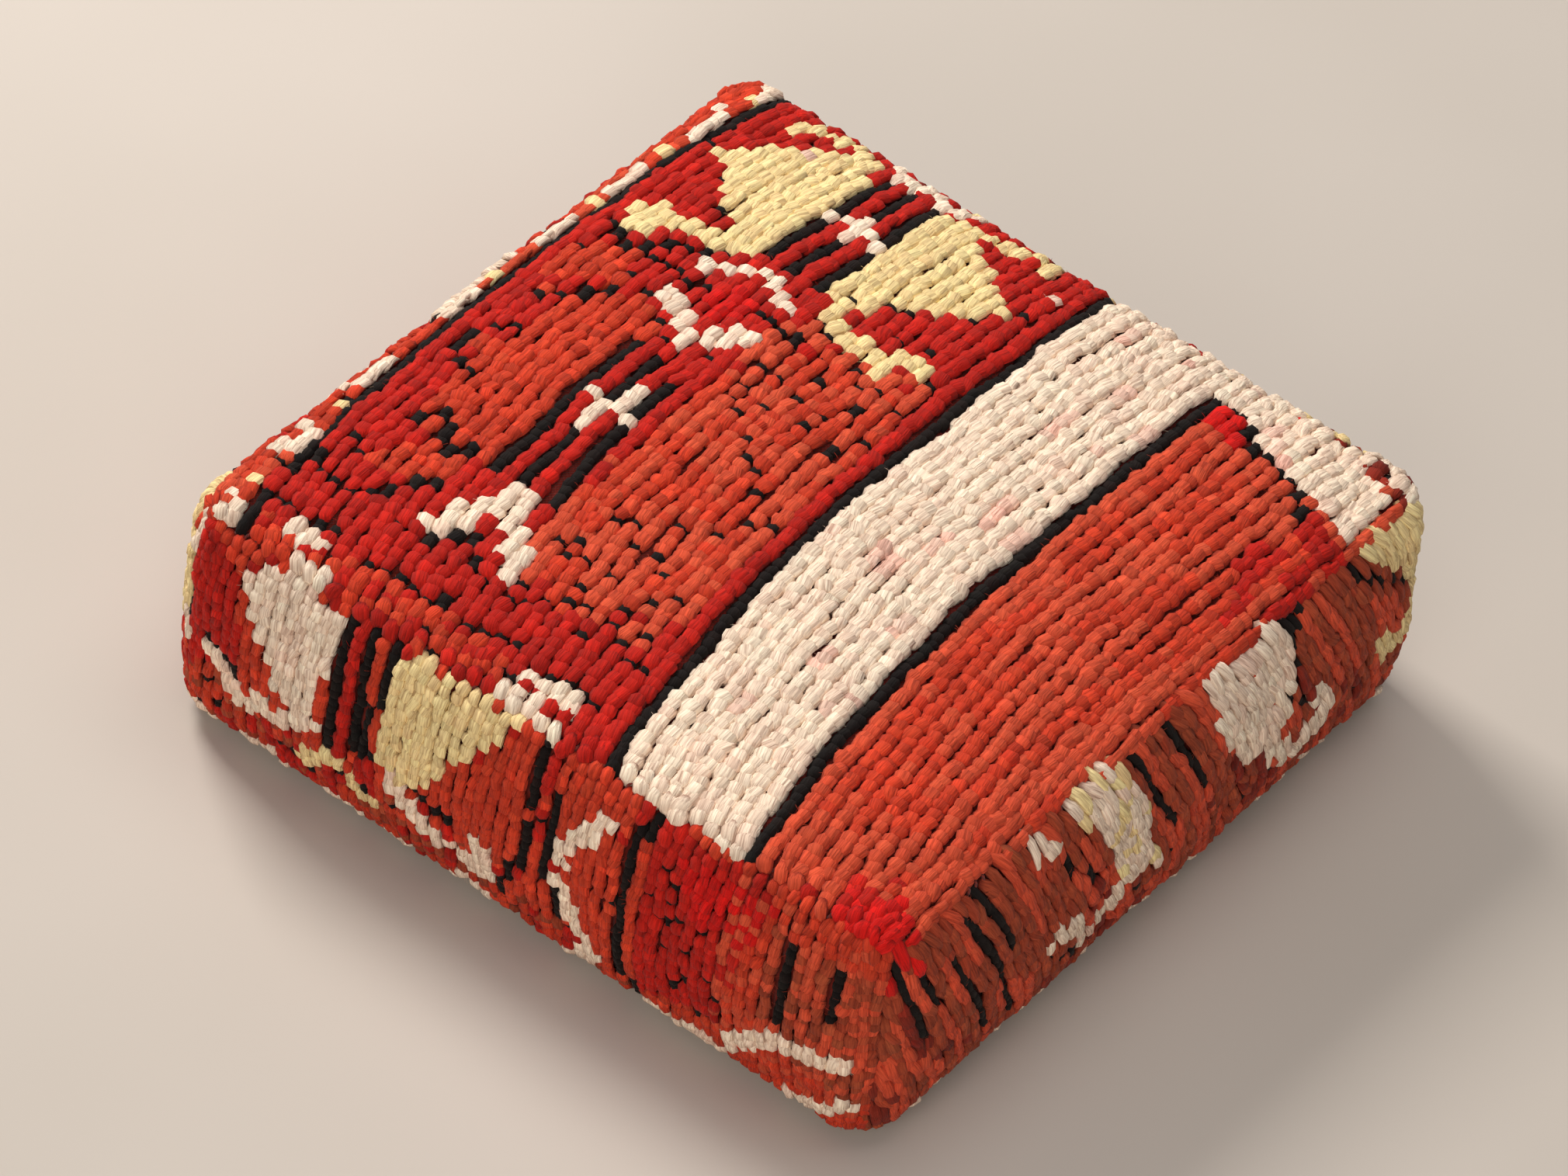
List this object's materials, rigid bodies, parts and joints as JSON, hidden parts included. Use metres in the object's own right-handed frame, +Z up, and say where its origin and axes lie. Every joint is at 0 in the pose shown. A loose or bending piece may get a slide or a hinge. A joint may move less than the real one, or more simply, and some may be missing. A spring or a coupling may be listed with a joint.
{
  "type": "floor cushion",
  "caption": "Square boxed floor cushion to sit on: a cover of knotted pile rug with a zipped cotton base over a stuffed inner cushion.",
  "frame": {"origin": "middle of the underside, on the floor", "axes": "+Z up; -Y towards the front side, which shows lower left in a view from the front right corner; +X towards the right side; the zip lies along X"},
  "size_m": [0.6256, 0.6256, 0.21],
  "materials": {
    "rug_pile": "worn knotted wool pile, patterned",
    "base_cotton": "plain woven cotton",
    "seam_thread": "twisted wool thread",
    "cotton_thread": "twisted cotton thread",
    "zip_tape": "woven herringbone tape",
    "zip_teeth": "satin antique brass",
    "slider_metal": "polished antique brass",
    "insert_calico": "plain calico",
    "polyester_fibre": "loose fibre"
  },
  "bodies": {
    "cushion": {"top_panel": "rug_pile", "side_panel_front": "rug_pile", "side_panel_right": "rug_pile", "side_panel_back": "rug_pile", "side_panel_left": "rug_pile", "base_panel_front": "base_cotton", "base_panel_back": "base_cotton", "top_seam_thread": "seam_thread", "base_seam_thread": "seam_thread", "corner_seam_thread_front_left": "seam_thread", "corner_seam_thread_front_right": "seam_thread", "corner_seam_thread_back_right": "seam_thread", "corner_seam_thread_back_left": "seam_thread", "closing_seam_thread_left": "cotton_thread", "closing_seam_thread_right": "cotton_thread", "zip_stitching_front": "cotton_thread", "zip_stitching_back": "cotton_thread", "zip_tape_front": "zip_tape", "zip_tape_back": "zip_tape", "zip_chain_front": "zip_teeth", "zip_chain_back": "zip_teeth", "zip_top_stop_front": "zip_teeth", "zip_top_stop_back": "zip_teeth", "zip_bottom_stop": "zip_teeth", "insert_case_top": "insert_calico", "insert_case_base": "insert_calico", "insert_case_band": "insert_calico", "insert_seam_thread_top": "cotton_thread", "insert_seam_thread_base": "cotton_thread", "fibre_filling": "polyester_fibre"},
    "slider": {"zip_slider": "slider_metal"},
    "pull_tab": {"zip_pull_tab": "slider_metal"}
  },
  "joints": [
    {"name": "zip_slide", "type": "slide", "parent": "cushion", "child": "slider", "axis": [-1, 0, 0], "range_m": [0, 0.399], "deforming": ["zip_chain_front", "zip_chain_back"]},
    {"name": "pull_tab_hinge", "type": "hinge", "parent": "slider", "child": "pull_tab", "pos_m": [0.1997, 0, 0.00535], "axis": [0, -1, 0], "range_deg": [0, 180]}
  ]
}
